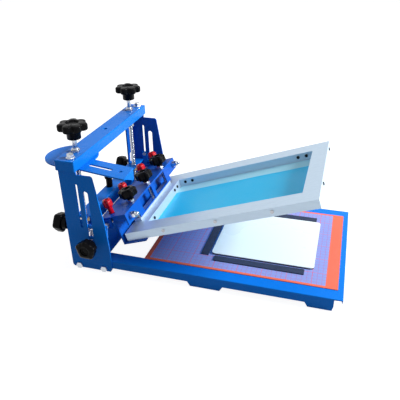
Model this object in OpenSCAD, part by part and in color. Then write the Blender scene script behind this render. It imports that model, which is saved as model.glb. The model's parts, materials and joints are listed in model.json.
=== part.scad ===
// Tabletop screen printing press, in mm.
// X runs from the tower to the free end of the base, Y from front to rear, Z up from the table.

/* [Base] */
// Length of the base tray along X
base_len = 565; // [480:1:700]
// Width of the base tray along Y
base_wid = 343; // [330:1:420]
// Height of the deck above the table
deck_z = 28.6; // [24:0.1:36]
// Thickness of the tray sheet
tray_t = 2; // [1.5:0.1:2.5]
// Depth of the flanges that are bent down from the deck
tray_drop = 18.4; // [14:0.1:22]
// Near edge of the cut-out, from the tower end of the tray
cut_from = 74.5; // [60:0.5:85]
// Length of the cut-out along X
cut_len = 81; // [60:1:90]
// Width of the side rails beside the cut-out and the mat
rail_w = 29.5; // [20:0.5:40]
// Length of a foot tab where it stands on the table
foot_len = 58; // [40:1:64]
// Setback of a corner notch in the end flange
corner_cut = 14; // [8:0.5:20]

/* [Mat and pallet] */
// Thickness of the printed grid mat
mat_t = 1.2; // [0.8:0.1:2]
// Length of the grid mat along X
mat_len = 398; // [360:1:420]
// Width of the grid mat along Y
mat_wid = 287; // [240:1:300]
// Length of the white pallet plate
pallet_len = 215; // [150:1:240]
// Width of the white pallet plate
pallet_wid = 184; // [120:1:200]
// Thickness of the pallet plate
pallet_t = 4; // [3:0.1:5]
// Corner radius of the pallet plate
pallet_r = 8; // [4:0.5:20]
// Width of a stop bar
stop_w = 17; // [10:0.5:20]
// Thickness of a stop bar
stop_t = 2; // [1:0.1:3]
// Space between the pallet and the stop bars
stop_gap = 5; // [2:0.5:8]

/* [Tower] */
// Thickness of the upright plates
up_t = 3; // [2:0.1:4]
// Length of an upright at its foot along X
up_foot = 92; // [84:1:100]
// Length of an upright at its shoulder along X
up_top = 72.6; // [64:0.1:80]
// Height of the shoulder of an upright
shoulder_z = 224.7; // [215:0.1:229]
// Width of the wide slot
wide_slot = 11; // [10.8:0.1:14]
// Width of the thin guide slot
thin_slot = 5; // [4.8:0.1:6]
// Width of the flange at the back of an upright
back_flange = 34; // [28:1:38]
// Length of the crossbar along Y
bar_len = 362.4; // [354:0.2:372]
// Width of the crossbar along X
bar_wid = 42.7; // [40:0.1:50]
// Height of the crossbar's top face
bar_z = 255; // [250:0.5:275]
// Depth of the crossbar
bar_drop = 21.6; // [20:0.1:26]
// Sheet thickness of the crossbar
bar_t = 2.5; // [2:0.1:3]
// Diameter of the spare hole in the middle of the crossbar
bar_hole = 9; // [6:0.5:12]

/* [Height drive] */
// Diameter of the height screws
screw_d = 10; // [8:0.1:10.4]
// Distance of each height screw from the middle of the press
screw_y = 132; // [125:0.5:138]
// Height of the top of the star knobs over the crossbar
knob_top = 61; // [52:1:72]
// Diameter of the big star knobs
knob_d = 60; // [50:1:70]
// Thickness of the big star knobs
knob_t = 16; // [12:0.5:20]
// Outside diameter of the screw bushes
bush_d = 14; // [13:0.1:15]

/* [Arm plate] */
// Width of the arm plate
arm_w = 50.6; // [44:0.1:56]
// Reach of the arm plate from the front height screw
arm_reach = 132.5; // [115:0.5:145]
// Radius of the round tail of the arm plate
arm_tail = 54.5; // [44:0.5:60]
// Angle of the arm plate to the X axis
arm_turn = 10.7; // [8:0.1:14]
// Slant of the arm plate's end, from its near corner to its rear corner
arm_slant = 13; // [8:0.5:18]
// Depth of the flap that is bent down from the arm plate's end
arm_drop = 24; // [16:0.5:30]
// Thickness of the arm plate
arm_t = 3; // [2:0.1:3.2]
// Width of the arm plate's slot
arm_slot = 8; // [5:0.5:12]

/* [Carriage] */
// Thickness of the carriage sheet
car_t = 3; // [2:0.1:3]
// Height of the carriage's top face
car_top = 111; // [108:0.5:116]
// Height of the carriage's lower edge
car_low = 51; // [48:0.5:54]
// Diameter of the hinge shaft
shaft_d = 10; // [8:0.1:12]
// Diameter of the side and back lock knobs
lock_d = 44; // [34:1:48]
// Diameter of the lock studs
stud_d = 10; // [8:0.1:10.2]

/* [Lift springs] */
// Wire thickness of the lift springs
wire_d = 1.8; // [1.2:0.1:2]
// Outside diameter of the lift springs
coil_d = 12; // [9:0.5:13]
// Number of turns of a lift spring
coils = 6; // [4:1:8]

/* [Head] */
// Angle at which the screen stands raised at rest
tilt = 19.53; // [12:0.01:24]
// Sheet thickness of the head
head_t = 3; // [2:0.1:3]
// Half width of the clamp channel
chan_y = 148; // [145:0.5:148.5]
// Height of the channel's top face over the screen frame
chan_c = 46; // [44:0.5:48]
// Depth of the top plate in front of the web
chan_a = 32; // [30:0.5:36]
// Length of the lower lip in front of the web
lip_a = 54; // [44:1:60]
// Width of a window in the front face
win_w = 66; // [50:1:70]
// Spacing of the three clamp knobs
clamp_gap = 88; // [70:1:95]
// Diameter of the clamp knobs
clamp_d = 40; // [30:1:44]
// Diameter of the clamp screws
clamp_screw_d = 8; // [6:0.1:10]
// Width of the pressure bar
press_w = 17; // [12:0.5:17]
// Thickness of the pressure bar
press_t = 8; // [7:0.5:8.5]
// Diameter of the red knobs
red_d = 21; // [18:0.5:26]
// Distance of the outer red knobs from the middle
red_out = 128; // [120:0.5:134]
// Distance of the inner red knobs from the middle
red_in = 52; // [35:0.5:60]
// Diameter of the adjusting rods
rod_d = 8; // [6:0.1:9]
// Distance of the adjusting rods from the middle
rod_y = 130; // [120:0.5:134]

/* [Screen] */
// Length of the screen frame
frame_len = 408; // [330:1:420]
// Width of the screen frame
frame_wid = 284; // [240:1:286]
// Height of the frame bars
frame_h = 18.3; // [15:0.1:24]
// Width of the near, far and left bars
frame_bar = 40; // [30:1:44]
// Width of the right bar
frame_end = 34; // [26:1:44]
// Wall of the hollow bars
frame_wall = 2; // [1.5:0.1:3]
// Thickness of the stretched mesh
mesh_t = 0.5; // [0.3:0.1:0.8]

/* [Hidden] */
$fn = 48;
run = 0.05;       // radial clearance of a running fit
seat = 0.1;       // space between pieces that lie on each other
gap = 0.3;        // space between pieces that move past each other
over = 1;         // how far a cutter runs past the face it cuts

tail_at = [-30.6, 21];           // centre of the arm plate's tail, from the front height screw
arm_off = -2.3;                  // middle of the arm plate's width, from the front height screw
screw_in = 20.1;                 // distance of the height screws from the tray's tower end
tail_out = arm_tail - tail_at.x * cos(arm_turn) - tail_at.y * sin(arm_turn) - screw_in;
base_x = (tail_out - base_len) / 2;
base_end = base_x + base_len;
half_y = base_wid / 2;
flange_z = deck_z - tray_drop;
foot_slope = 6;
foot_xs = [base_x + 7.5, base_x + base_len * 0.468, base_x + base_len * 0.886];
foot_ls = [up_foot - 12, foot_len + 4, foot_len - 12];
cut_x = base_x + cut_from;
mat_x = cut_x + cut_len;
mat_z = deck_z + seat;
pallet_end = 50;                 // from the pallet to the free end of the mat
pallet_x = mat_x + mat_len - pallet_end - pallet_len;
top_z = mat_z + mat_t + seat;

up_in = half_y;                  // inner face of the uprights
up_out = half_y + up_t;          // outer face of the uprights
up_x = base_x + 0.5;
up_z = 3.4;
up_r = 6;
bar_x = base_x - 0.8;            // rear face of the crossbar
bar_y = bar_len / 2;
bar_low = bar_z - bar_drop;
slot_x = up_x + 53.5;
thin_x = up_x + 35.5;
slot_z = [42, 190];
thin_z = [105, 204];
bolt_z = 9.5;
bolt_xs = [up_x + 18, up_x + 75];
bolt_d = 8;
screw_x = base_x + screw_in;
top_bolt = [up_x + 27, up_in - 6.5];
bush_low = bar_low - 11.4;
bush_nut_h = 5;
arm_z = bar_low - gap - arm_t;
hub_d = 28;
hub_h = 17;
knob_z = bar_z + knob_top;       // top of the star knobs over the table
shoulder_h = 3;

web_x = up_x + up_t + 1;         // rear face of the carriage web
car_y = up_in - gap;             // outer face of the carriage cheeks
car_in = car_y - car_t;
car_flange = 27;
centre_x = screw_x - 5;          // place of the small knob on the flange
stud_z = 72;
back_z = 96;
back_y = up_in - 16.5;
pin_z = 126;
pin_d = thin_slot - 0.4;
spacer = 9;
lock_hub = 8;
lock_t = 20;

// Head coordinates: a along the screen, b along Y, c square to the screen, zero on the frame's top
head_x = base_x + 114.4;
head_z = 82.73;
hinge_a = -22;
hinge_c = 33;
hinge_x = head_x + hinge_a * cos(tilt) - hinge_c * sin(tilt);
hinge_z = head_z + hinge_a * sin(tilt) + hinge_c * cos(tilt);
hook_a = hinge_a - 36;
hook_c = hinge_c + 3;
hook_x = head_x + hook_a * cos(tilt) - hook_c * sin(tilt);
hook_z = head_z + hook_a * sin(tilt) + hook_c * cos(tilt);
web_low = -8;                    // rear face of the channel's web
slide = 3;                       // travel of the channel each way along a
swing_c = chan_c - head_t - 0.4; // top face of the swing plate
swing_y = chan_y + 1.2;          // inner face of the swing cheeks
swing_a = web_low - slide - 0.4; // front edge of the swing plate
web_a = web_low;
chan_front = web_a + chan_a;
lip_c = -frame_h - mesh_t - 2 * seat;
clamp_a = 13;
ear_c = chan_c - 11.5;
face_low = 9;
red_a = swing_a - 5.6;
red_h = 18;
red_hub = 14.7;
nut_h = 6.8;
knob_c = chan_c + 7;
clamp_bore = 14;
spring_y = up_in - 14.5;
spring_x = hook_x;
anchor_z = 55;
hook_pin = 4;
frame_y = frame_wid / 2;

// The name of one node to draw, or all of them

// Shared shapes

// Puts head coordinates into the press at the rest angle
module in_head() {
  translate([head_x, 0, head_z]) rotate([0, -tilt, 0]) children();
}

// A block between two corners
module block(lo, hi) {
  translate(lo) cube([hi.x - lo.x, hi.y - lo.y, hi.z - lo.z]);
}

// A round bar along Y between two y values
module bar_along_y(x, z, y0, y1, d) {
  translate([x, y0, z]) rotate([-90, 0, 0]) cylinder(h = y1 - y0, d = d);
}

// A round bar along X between two x values
module bar_along_x(y, z, x0, x1, d) {
  translate([x0, y, z]) rotate([0, 90, 0]) cylinder(h = x1 - x0, d = d);
}

// A slot that runs along Z, cut through along Y
module slot_up(x, z0, z1, w, y0, y1) {
  bar_along_y(x, z0 + w / 2, y0, y1, w);
  bar_along_y(x, z1 - w / 2, y0, y1, w);
  block([x - w / 2, y0, z0 + w / 2], [x + w / 2, y1, z1 - w / 2]);
}

// A hexagon nut on the Z axis with a round bore
module hex_nut(af, h, bore) {
  difference() {
    cylinder(h = h, d = af / cos(30), $fn = 6);
    translate([0, 0, -over]) cylinder(h = h + 2 * over, d = bore);
  }
}

// A star knob that stands on the Z axis: hub first, then the lobed disc
module star_knob(d, disc, hub, hub_h, lobes, bore, depth) {
  difference() {
    union() {
      cylinder(h = hub_h + disc / 2, d = hub);
      translate([0, 0, hub_h]) cylinder(h = disc, d = d * 0.78);
      for (i = [0:lobes - 1])
        rotate([0, 0, i * 360 / lobes])
          translate([d * 0.36, 0, hub_h + disc * 0.06]) cylinder(h = disc * 0.88, d = d * 0.28);
    }
    translate([0, 0, hub_h + disc * 0.8]) cylinder(h = disc, d = d * 0.42);
    translate([0, 0, -over]) cylinder(h = depth + over, d = bore);
  }
}

// Runs children once at the front and once, mirrored, at the rear
module both_sides() {
  children();
  mirror([0, 1, 0]) children();
}

// Points of an arc in a plane, for outlines with round corners
function arc(cx, cy, r, a0, a1, n = 6) =
  [for (i = [0:n]) [cx + r * cos(a0 + (a1 - a0) * i / n), cy + r * sin(a0 + (a1 - a0) * i / n)]];

// Base

// One side flange of the tray in the XZ plane, with its three foot tabs
module side_flange_outline() {
  polygon([for (p = concat(
    [[base_x, deck_z], [base_x, flange_z]],
    [for (i = [0:2]) each [[foot_xs[i] - (i == 0 ? 0 : foot_slope), flange_z],
      [foot_xs[i], 0], [foot_xs[i] + foot_ls[i], 0],
      [foot_xs[i] + foot_ls[i] + (i == 2 ? 2 : foot_slope), flange_z]]],
    [[foot_xs[2] + foot_ls[2] + 2, deck_z]])) p]);
}

module base_tray() {
  color([0.10, 0.42, 0.85])
  difference() {
    union() {
      block([base_x, -half_y, deck_z - tray_t], [base_end, half_y, deck_z]);
      both_sides()
        translate([0, -half_y + tray_t, 0]) rotate([90, 0, 0])
          linear_extrude(tray_t) side_flange_outline();
      block([base_end - tray_t, -half_y + corner_cut, flange_z],
        [base_end, half_y - corner_cut, deck_z]);
      block([base_x, -half_y + corner_cut, flange_z],
        [base_x + tray_t, half_y - corner_cut, deck_z]);
    }
    block([cut_x, -half_y + rail_w, deck_z - tray_t - over],
      [cut_x + cut_len, half_y - rail_w, deck_z + over]);
    for (x = bolt_xs) bar_along_y(x, bolt_z, -half_y - over, half_y + over, bolt_d + 0.4);
  }
}

module grid_mat() {
  color([0.85, 0.45, 0.35])
  block([mat_x, -mat_wid / 2, mat_z], [mat_x + mat_len, mat_wid / 2, mat_z + mat_t]);
}

module pallet() {
  color([0.96, 0.98, 0.97])
  translate([pallet_x, 0, top_z]) linear_extrude(pallet_t) polygon(concat(
    arc(pallet_len - pallet_r, pallet_wid / 2 - pallet_r, pallet_r, 0, 90),
    arc(pallet_r, pallet_wid / 2 - pallet_r, pallet_r, 90, 180),
    arc(pallet_r, -pallet_wid / 2 + pallet_r, pallet_r, 180, 270),
    arc(pallet_len - pallet_r, -pallet_wid / 2 + pallet_r, pallet_r, 270, 360)));
}

module stop_bar_left() {
  color([0.20, 0.24, 0.32])
  block([pallet_x - stop_gap - stop_w, -pallet_wid / 2 - 6, top_z],
    [pallet_x - stop_gap, pallet_wid / 2 + 6, top_z + stop_t]);
}

module stop_bar_front() {
  color([0.20, 0.24, 0.32])
  block([pallet_x + 9, -pallet_wid / 2 - stop_gap - stop_w, top_z],
    [pallet_x + pallet_len - 18, -pallet_wid / 2 - stop_gap, top_z + stop_t]);
}

module stop_bar_rear() {
  color([0.20, 0.24, 0.32])
  block([pallet_x + 9, pallet_wid / 2 + stop_gap, top_z],
    [pallet_x + pallet_len - 10, pallet_wid / 2 + stop_gap + stop_w, top_z + stop_t]);
}

// Tower

// Outline of an upright in the XZ plane, from its foot up to the tab inside the crossbar
module upright_outline() {
  foot = up_x + up_foot;
  top = up_x + up_top;
  polygon(concat(
    arc(up_x + up_r, up_z + up_r, up_r, 180, 270),
    arc(foot - up_r, up_z + up_r, up_r, 270, 360),
    [[foot, 60], [foot - 4, 112]],
    arc(top - up_r, shoulder_z - up_r, up_r, 10, 90),
    [[bar_x + bar_wid - bar_t - 0.5, shoulder_z], [bar_x + bar_wid - bar_t - 0.5, bar_z - bar_t - 0.2],
      [bar_x + bar_t + 0.5, bar_z - bar_t - 0.2], [bar_x + bar_t + 0.5, bar_low - 2.4],
      [up_x, bar_low - 2.4]]));
}

// The front upright: slotted plate, back flange with its own slot, and a tab under the crossbar
module upright() {
  tab = bar_z - bar_t - 0.2;
  difference() {
    union() {
      translate([0, -up_in, 0]) rotate([90, 0, 0]) linear_extrude(up_t) upright_outline();
      block([up_x, -up_out, deck_z + 0.6], [up_x + up_t, -up_out + back_flange, bar_low - 5.4]);
      block([bar_x + bar_t + 0.5, -up_out, tab - bar_t],
        [bar_x + bar_wid - bar_t - 0.5, -up_in + 21, tab]);
    }
    slot_up(slot_x, slot_z[0], slot_z[1], wide_slot, -up_out - over, -up_in + over);
    slot_up(thin_x, thin_z[0], thin_z[1], thin_slot, -up_out - over, -up_in + over);
    for (x = bolt_xs) bar_along_y(x, bolt_z, -up_out - over, -up_in + over, bolt_d + 0.4);
    translate([0, -back_y, 0]) rotate([0, 0, 90])
      slot_up(0, back_z - 27, back_z + 38, wide_slot, -up_x - up_t - over, -up_x + over);
    translate([top_bolt.x, -top_bolt.y, tab - bar_t - over]) cylinder(h = bar_t + 2 * over, d = bolt_d + 0.4);
  }
}

module upright_front() {
  color([0.06, 0.22, 0.55]) upright();
}

module upright_rear() {
  color([0.04, 0.10, 0.45]) mirror([0, 1, 0]) upright();
}

// Hexagon bolts that hold the uprights to the foot tabs of the tray
module upright_bolts() {
  color([0.80, 0.82, 0.84])
  both_sides() for (x = bolt_xs) {
    bar_along_y(x, bolt_z, -up_out - seat, -half_y + tray_t + 9, bolt_d);
    translate([x, -up_out - seat, bolt_z]) rotate([90, 0, 0]) cylinder(h = 5, d = 15, $fn = 6);
  }
}

module upright_nuts() {
  color([0.75, 0.77, 0.80])
  both_sides() for (x = bolt_xs)
    translate([x, -half_y + tray_t + seat, bolt_z]) rotate([-90, 0, 0]) hex_nut(13, nut_h, bolt_d + 2 * run);
}

module crossbar() {
  color([0.16, 0.55, 0.95])
  difference() {
    block([bar_x, -bar_y, bar_low], [bar_x + bar_wid, bar_y, bar_z]);
    block([bar_x + bar_t, -bar_y + bar_t, bar_low - over],
      [bar_x + bar_wid - bar_t, bar_y - bar_t, bar_z - bar_t]);
    translate([screw_x, 0, bar_z - bar_t - over]) cylinder(h = bar_t + 2 * over, d = bar_hole);
    for (s = [-1, 1]) {
      translate([screw_x, s * screw_y, bar_z - bar_t - over])
        cylinder(h = bar_t + 2 * over, d = bush_d + 0.2);
      translate([top_bolt.x, s * top_bolt.y, bar_z - bar_t - over])
        cylinder(h = bar_t + 2 * over, d = bolt_d + 0.4);
    }
  }
}

// Bolts that tie the crossbar to the tabs of the uprights
module crossbar_bolts() {
  color([0.84, 0.86, 0.88])
  both_sides() translate([top_bolt.x, -top_bolt.y, 0]) {
    translate([0, 0, bar_z + seat]) cylinder(h = 2, d = 18);
    translate([0, 0, bar_z + seat + 1]) cylinder(h = 8, d = 15, $fn = 6);
    translate([0, 0, bar_z - 16]) cylinder(h = 18, d = bolt_d);
  }
}

module crossbar_nuts() {
  color([0.75, 0.77, 0.80])
  both_sides()
    translate([top_bolt.x, -top_bolt.y, bar_z - 2 * bar_t - 0.3 - nut_h - seat])
      hex_nut(13, nut_h, bolt_d + 2 * run);
}

// Flanged bushes in which the height screws turn
module screw_bushes() {
  color([0.70, 0.72, 0.76])
  for (s = [-1, 1]) translate([screw_x, s * screw_y, 0])
    difference() {
      union() {
        translate([0, 0, bush_low]) cylinder(h = bar_z + seat - bush_low + 1, d = bush_d);
        translate([0, 0, bar_z + seat]) cylinder(h = 4, d = bush_d + 4);
      }
      translate([0, 0, bush_low - over])
        cylinder(h = bar_z - bush_low + 4 + 3 * over, d = screw_d + 2 * run);
    }
}

// Nuts on the bushes: one under the crossbar's sheet on each, and one that carries the arm plate
module bush_nuts() {
  color([0.62, 0.64, 0.68]) {
    for (s = [-1, 1])
      translate([screw_x, s * screw_y, bar_z - bar_t - seat - bush_nut_h])
        hex_nut(22, bush_nut_h, bush_d + 2 * run);
    translate([screw_x, -screw_y, arm_z - gap - bush_nut_h])
      hex_nut(22, bush_nut_h, bush_d + 2 * run);
  }
}

// Plate that swings on the front bush, with a round tail, a long slot and a slanted end from
// which a three-cornered flap is bent down
module arm_plate() {
  v0 = arm_off - arm_w / 2;
  v1 = arm_off + arm_w / 2;
  edge = norm([arm_slant, arm_w]);
  color([0.14, 0.50, 0.95])
  translate([screw_x, -screw_y, arm_z]) rotate([0, 0, -arm_turn]) difference() {
    union() {
      linear_extrude(arm_t)
        polygon([[0, v0], [arm_reach, v0], [arm_reach - arm_slant, v1], [0, v1]]);
      translate([tail_at.x, tail_at.y, 0]) cylinder(h = arm_t, r = arm_tail, $fn = 96);
      translate([arm_reach, v0, 0]) rotate([0, 0, 90 + atan(arm_slant / arm_w)])
        translate([0, arm_t, 0]) rotate([90, 0, 0]) linear_extrude(arm_t)
          polygon([[arm_t, 0.5 * arm_t], [edge - 0.5, 0.5 * arm_t], [edge - 0.5, arm_t - arm_drop],
            [edge - 6, arm_t - arm_drop]]);
    }
    translate([0, 0, -over]) cylinder(h = arm_t + 2 * over, d = bush_d + 0.2);
    translate([0, arm_off, -over]) linear_extrude(arm_t + 2 * over) {
      translate([34.5, 0]) circle(d = arm_slot);
      translate([84.5, 0]) circle(d = arm_slot);
      translate([34.5, -arm_slot / 2]) square([50, arm_slot]);
    }
    translate([107, arm_off, -over]) cylinder(h = arm_t + 2 * over, d = bar_hole);
  }
}

// Height drive

// A height screw with a shoulder that rests on its bush
module height_screw(s) {
  color([0.82, 0.84, 0.87])
  translate([screw_x, s * screw_y, 0]) {
    translate([0, 0, 66]) cylinder(h = knob_z - knob_t - 2 - 66, d = screw_d);
    translate([0, 0, bar_z + seat + 4 + seat]) cylinder(h = shoulder_h, d = screw_d + 4);
  }
}

module height_screw_front() { height_screw(-1); }

module height_screw_rear() { height_screw(1); }

// Collar pinned to the screw under its bush
module screw_collar(s) {
  color([0.55, 0.57, 0.60])
  translate([screw_x, s * screw_y, bush_low - gap - 6]) difference() {
    cylinder(h = 6, d = screw_d + 8);
    translate([0, 0, -over]) cylinder(h = 6 + 2 * over, d = screw_d + 2 * run);
  }
}

module screw_collar_front() { screw_collar(-1); }

module screw_collar_rear() { screw_collar(1); }

module height_knob(s) {
  color([0.05, 0.05, 0.06])
  translate([screw_x, s * screw_y, knob_z - knob_t - hub_h])
    star_knob(knob_d, knob_t, hub_d, hub_h, 7, screw_d + 2 * run, hub_h - 1);
}

module height_knob_front() { height_knob(-1); }

module height_knob_rear() { height_knob(1); }

// Carriage

// Outline of a carriage cheek in the XZ plane
module cheek_outline() {
  polygon([[web_x, car_low], [hinge_x - 14, car_low], [hinge_x + 7, hinge_z - 22],
    [hinge_x + 8, hinge_z + 8], [hinge_x - 10, hinge_z + 8], [slot_x + 4, car_top],
    [thin_x + 6.5, car_top], [thin_x + 6.5, pin_z + 6.5], [thin_x - 6.5, pin_z + 6.5],
    [thin_x - 6.5, car_top], [web_x, car_top]]);
}

module carriage_frame() {
  color([0.12, 0.40, 0.80])
  difference() {
    union() {
      block([web_x, -car_y, car_low], [web_x + car_t, car_y, car_top]);
      block([web_x, -car_y, car_top - car_t], [web_x + car_flange, car_y, car_top]);
      both_sides()
        translate([0, -car_in, 0]) rotate([90, 0, 0]) linear_extrude(car_t) cheek_outline();
    }
    bar_along_y(hinge_x, hinge_z, -car_y - over, car_y + over, shaft_d + 2 * run);
    bar_along_y(slot_x, stud_z, -car_y - over, car_y + over, stud_d + 2 * run);
    bar_along_y(thin_x, pin_z, -car_y - over, car_y + over, pin_d + 2 * run);
    bar_along_y(spring_x, anchor_z, -car_y - over, car_y + over, hook_pin + 2 * run);
    block([slot_x - 13, -car_y - over, stud_z + 10], [slot_x + 7, car_y + over, car_top - 7]);
    for (s = [-1, 1]) {
      bar_along_x(s * back_y, back_z, web_x - over, web_x + car_t + over, stud_d + 2 * run);
      translate([screw_x, s * screw_y, car_top - car_t - over])
        cylinder(h = car_t + 2 * over, d = screw_d + 0.6);
    }
    translate([centre_x, 0, car_top - car_t - over]) cylinder(h = car_t + 2 * over, d = 8 + 2 * run);
  }
}

// Nuts under the carriage flange that climb the height screws
module lead_nuts() {
  color([0.70, 0.66, 0.50])
  for (s = [-1, 1])
    translate([screw_x, s * screw_y, car_top - car_t - seat - 12]) hex_nut(17, 12, screw_d + 2 * run);
}

// Pins that keep the carriage upright in the thin slots
module guide_pins() {
  color([0.75, 0.77, 0.80])
  both_sides() {
    bar_along_y(thin_x, pin_z, -up_out + 0.5, -car_in + 1, pin_d);
    bar_along_y(thin_x, pin_z, -car_in + seat, -car_in + 3, pin_d + 4);
  }
}

// Studs of the four lock knobs, with their heads inside the carriage
module lock_studs() {
  color([0.80, 0.82, 0.85])
  both_sides() {
    bar_along_y(slot_x, stud_z, -up_out - spacer - lock_hub - 3, -car_in, stud_d);
    bar_along_y(slot_x, stud_z, -car_in + seat, -car_in + 5, stud_d + 5);
    bar_along_x(-back_y, back_z, up_x - spacer - lock_hub - 3, web_x + car_t, stud_d);
    bar_along_x(-back_y, back_z, web_x + car_t + seat, web_x + car_t + 5, stud_d + 5);
  }
}

// Spacers between the uprights and the lock knobs
module lock_spacers() {
  color([0.80, 0.82, 0.85])
  both_sides() {
    difference() {
      bar_along_y(slot_x, stud_z, -up_out - gap - spacer + 0.6, -up_out - gap, stud_d + 6);
      bar_along_y(slot_x, stud_z, -up_out - spacer - over, -up_out + over, stud_d + 2 * run);
    }
    difference() {
      bar_along_x(-back_y, back_z, up_x - gap - spacer + 0.6, up_x - gap, stud_d + 6);
      bar_along_x(-back_y, back_z, up_x - spacer - over, up_x + over, stud_d + 2 * run);
    }
  }
}

// A lock knob on the Z axis
module lock_knob() {
  star_knob(lock_d, lock_t, 26, lock_hub, 5, stud_d + 2 * run, lock_hub + 4);
}

module side_knob_front() {
  color([0.05, 0.05, 0.06])
  translate([slot_x, -up_out - spacer, stud_z]) rotate([90, 0, 0]) lock_knob();
}

module side_knob_rear() {
  color([0.05, 0.05, 0.06])
  translate([slot_x, up_out + spacer, stud_z]) rotate([-90, 0, 0]) lock_knob();
}

module back_knob_front() {
  color([0.05, 0.05, 0.06])
  translate([up_x - spacer, -back_y, back_z]) rotate([0, -90, 0]) lock_knob();
}

module back_knob_rear() {
  color([0.05, 0.05, 0.06])
  translate([up_x - spacer, back_y, back_z]) rotate([0, -90, 0]) lock_knob();
}

// Small knob with its own stud, on the middle of the carriage flange
module centre_knob() {
  color([0.06, 0.06, 0.07])
  translate([centre_x, 0, car_top]) {
    translate([0, 0, gap]) cylinder(h = 22, d = 15);
    translate([0, 0, 22]) cylinder(h = 13, d = 20);
    translate([0, 0, -14]) cylinder(h = 16, d = 8);
  }
}

module hinge_shaft() {
  color([0.70, 0.72, 0.75])
  bar_along_y(hinge_x, hinge_z, -car_y, car_y, shaft_d);
}

// Pins on the cheeks that hold the lower ends of the lift springs
module spring_pins() {
  color([0.72, 0.74, 0.77])
  both_sides() bar_along_y(spring_x, anchor_z, -car_y, -spring_y + 5, hook_pin);
}

// Lift springs

// Height of a point of the spring above its lower end, and its distance from the spring's axis
spring_low = anchor_z + hook_pin / 2 + gap;
spring_high = hook_z - hook_pin / 2 - gap;
end_run = wire_d * 1.6;
wind_r = (coil_d - wire_d) / 2;
ring_n = 8;
steps = coils * ring_n;
coil_low = spring_low + end_run + 2;
coil_high = spring_high - end_run - 2;

// Centre line of a lift spring: a straight end, the turns, and a straight end
function spring_path() = concat(
  [[0, 0, spring_low], [0, 0, spring_low + end_run]],
  [[wind_r * 0.55, 0, coil_low - wire_d * 0.6]],
  [for (i = [0:steps]) [wind_r * cos(360 * i / ring_n), wind_r * sin(360 * i / ring_n),
    coil_low + (coil_high - coil_low) * i / steps]],
  [[wind_r * 0.55, 0, coil_high + wire_d * 0.6]],
  [[0, 0, spring_high - end_run], [0, 0, spring_high]]);

function unit(v) = v / norm(v);
function along(p, i) = unit(p[min(i + 1, len(p) - 1)] - p[max(i - 1, 0)]);
function side_of(t) = unit(cross(t, abs(t.z) > 0.9 ? [0, 1, 0] : [0, 0, 1]));

// One tube along a path: a ring of points at each step, joined by triangles and closed at both ends
module tube(p, d, sides) {
  n = len(p);
  // each ring's first direction is carried on from the one before it, so that the tube doesn't twist
  u = [for (i = 0, v = [1, 0, 0]; i < n; i = i + 1,
    v = i < n ? unit(v - (v * along(p, i)) * along(p, i)) : v) v];
  pts = [for (i = [0:n - 1]) let (t = along(p, i), a = unit(u[i] - (u[i] * t) * t), b = cross(t, a))
    for (k = [0:sides - 1]) p[i] + d / 2 * (cos(360 * k / sides) * a + sin(360 * k / sides) * b)];
  walls = [for (i = [0:n - 2], k = [0:sides - 1])
    let (a = i * sides + k, b = i * sides + (k + 1) % sides)
    each [[a, b, b + sides], [a, b + sides, a + sides]]];
  low = [for (k = [1:sides - 2]) [0, k + 1, k]];
  high = [for (k = [1:sides - 2]) [(n - 1) * sides, (n - 1) * sides + k, (n - 1) * sides + k + 1]];
  polyhedron(points = pts, faces = [for (f = concat(walls, low, high)) [f[2], f[1], f[0]]]);
}

// Least gap of the spring to itself, measured on points that are a turn or so apart
path = spring_path();
self_gap = min([for (i = [3:len(path) - 4], j = [3:len(path) - 4])
  if (j - i > ring_n / 2) norm(path[i] - path[j])]) - wire_d;
echo("least gap of a lift spring to itself", self_gap);

module lift_spring(s) {
  color([0.86, 0.88, 0.90])
  translate([spring_x, s * spring_y, 0]) tube(path, wire_d, 6);
}

module lift_spring_front() { lift_spring(-1); }

module lift_spring_rear() { lift_spring(1); }

// Head

// Outline of the swing plate in head coordinates
module swing_outline() {
  w = swing_y + head_t;
  ear = hinge_a - 12;
  rear = hinge_a - 23;
  cut = w * 0.21;
  polygon([[swing_a, -w], [swing_a, w], [ear, w], [rear, w - cut], [rear, -w + cut], [ear, -w]]);
}

// Plate that turns on the hinge shaft, with a cheek at each end and two tabs for the rods
module swing_plate() {
  color([0.10, 0.30, 0.70])
  in_head() difference() {
    union() {
      translate([0, 0, swing_c - head_t]) linear_extrude(head_t) swing_outline();
      both_sides() {
        translate([0, -swing_y, 0]) rotate([90, 0, 0]) linear_extrude(head_t)
          polygon([[swing_a, swing_c], [hook_a - 6, swing_c], [hook_a - 6, hook_c - 6],
            [hook_a + 8, hook_c - 6], [hinge_a - 8, hinge_c - 9], [swing_a, hinge_c - 9]]);
        block([swing_a - head_t, -rod_y - 10, ear_c - 7], [swing_a, -rod_y + 10, swing_c]);
      }
    }
    bar_along_y(hinge_a, hinge_c, -swing_y - head_t - over, swing_y + head_t + over, shaft_d + 2 * run);
    bar_along_y(hook_a, hook_c, -swing_y - head_t - over, swing_y + head_t + over, hook_pin + 2 * run);
    for (y = [-rod_y, rod_y]) bar_along_x(y, ear_c, swing_a - head_t - over, swing_a + over, rod_d + 2 * run);
    for (y = [-red_out, -red_in, red_in, red_out])
      translate([red_a, y, swing_c - head_t - over]) cylinder(h = head_t + 2 * over, d = 6 + 2 * run);
  }
}

// Pins on the swing cheeks that hold the upper ends of the lift springs
module spring_hooks() {
  color([0.72, 0.74, 0.77])
  in_head() both_sides() bar_along_y(hook_a, hook_c, -spring_y - 5, -swing_y, hook_pin);
}

// Studs of the red knobs, fixed in the swing plate
module red_studs() {
  color([0.78, 0.80, 0.83])
  in_head() for (y = [-red_out, -red_in, red_in, red_out])
    translate([red_a, y, swing_c - head_t]) cylinder(h = 26, d = 6);
}

// Threaded rods that set the channel's place along the head
module adjust_rods() {
  color([0.80, 0.82, 0.85])
  in_head() for (y = [-rod_y, rod_y]) bar_along_x(y, ear_c, swing_a - head_t, chan_front + 21, rod_d);
}

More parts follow.
